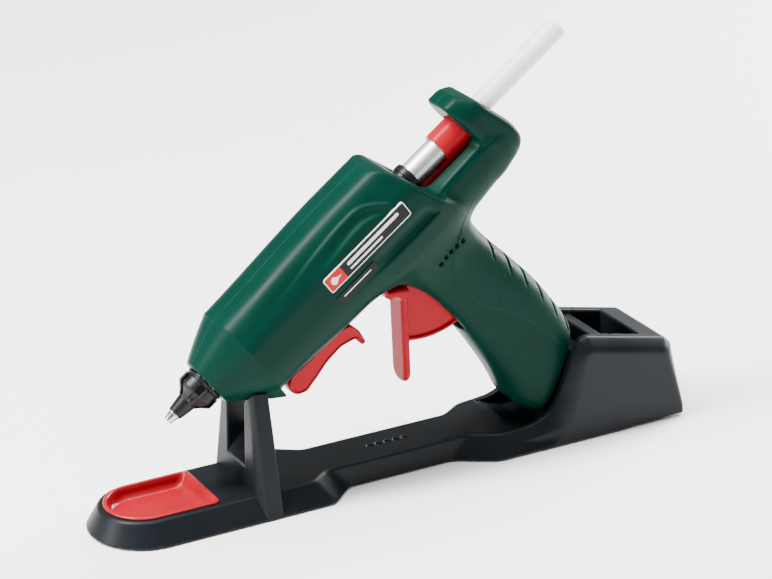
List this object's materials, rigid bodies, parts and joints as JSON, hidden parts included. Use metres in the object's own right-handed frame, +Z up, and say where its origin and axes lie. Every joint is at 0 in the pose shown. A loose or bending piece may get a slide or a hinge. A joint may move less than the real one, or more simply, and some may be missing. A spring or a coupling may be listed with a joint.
{
  "type": "hot glue gun with stand",
  "caption": "Pistol-grip hot glue gun with a pull trigger, fold-out front leg and a glue stick in its rear hoop, resting in a waisted stand with a drip tray.",
  "frame": {"origin": "middle of the stand, on the surface that its rubber feet stand on", "axes": "+Z up; +X from the nozzle and drip tray towards the back of the stand; y = 0 is the mirror plane of gun and stand"},
  "size_m": [0.328, 0.056, 0.2207],
  "materials": {
    "stand_black": "satin black moulded plastic",
    "foot_rubber": "soft matt black rubber",
    "screw_steel": "zinc plated",
    "sleeve_black": "matt black heat-resistant plastic",
    "tray_red": "smooth glossy red",
    "contact_brass": "bright",
    "housing_green": "satin dark green, finely textured",
    "nozzle_metal": "bright turned metal",
    "chamber_aluminium": "cast",
    "heater_ceramic": "matt",
    "clip_steel": "bright",
    "bush_rubber": "soft silicone",
    "tube_aluminium": "drawn, bright",
    "label_film": "gloss black film with a pale rim",
    "trigger_red": "satin red",
    "glue_clear": "milky translucent hot-melt glue"
  },
  "bodies": {
    "stand": {"stand_base": "stand_black", "stand_bottom_plate": "stand_black", "nose_cradle": "stand_black", "rubber_feet": "foot_rubber", "stand_screws": "screw_steel", "cord_gland": "sleeve_black", "contact_socket": "sleeve_black", "base_contacts": "contact_brass"},
    "tray": {"drip_tray": "tray_red"},
    "gun": {"housing_left": "housing_green", "housing_right": "housing_green", "housing_screws": "screw_steel", "nozzle_tip": "nozzle_metal", "nozzle_sleeve": "sleeve_black", "melt_chamber": "chamber_aluminium", "heater_element": "heater_ceramic", "heater_clip": "clip_steel", "chamber_bush": "bush_rubber", "inlet_sleeve": "bush_rubber", "tube_bush": "sleeve_black", "guide_tube": "tube_aluminium", "heel_plate": "sleeve_black", "heel_contacts": "contact_brass", "name_plate": "label_film", "rating_plate": "label_film", "trigger_pin": "clip_steel", "return_spring": "clip_steel", "leg_pin": "clip_steel"},
    "carriage": {"feed_carriage": "trigger_red", "stick_clamp": "bush_rubber", "glue_stick": "glue_clear"},
    "trigger": {"trigger": "trigger_red"},
    "leg": {"support_leg": "trigger_red"}
  },
  "joints": [
    {"name": "tray_lift", "type": "slide", "parent": "stand", "child": "tray", "axis": [0, 0, 1], "range_m": [0, 0.02]},
    {"name": "gun_lift", "type": "slide", "parent": "stand", "child": "gun", "axis": [0, 0, 1], "range_m": [0, 0.12]},
    {"name": "trigger_pull", "type": "hinge", "parent": "gun", "child": "trigger", "pos_m": [0.01687, 0, 0.11137], "axis": [0, -1, 0], "range_deg": [0, 28], "stiffness_Nm_per_rad": 0.15, "springref_deg": -20.05},
    {"name": "stick_feed", "type": "slide", "parent": "gun", "child": "carriage", "axis": [-0.7997, 0, -0.6004], "range_m": [0, 0.01181], "deforming": ["return_spring"]},
    {"name": "leg_fold", "type": "hinge", "parent": "gun", "child": "leg", "pos_m": [-0.0536, 0, 0.06034], "axis": [0, 1, 0], "range_deg": [0, 95]}
  ],
  "couplings": [
    {"joint": "stick_feed", "follows": "trigger_pull", "m_per_rad": 0.02376}
  ]
}
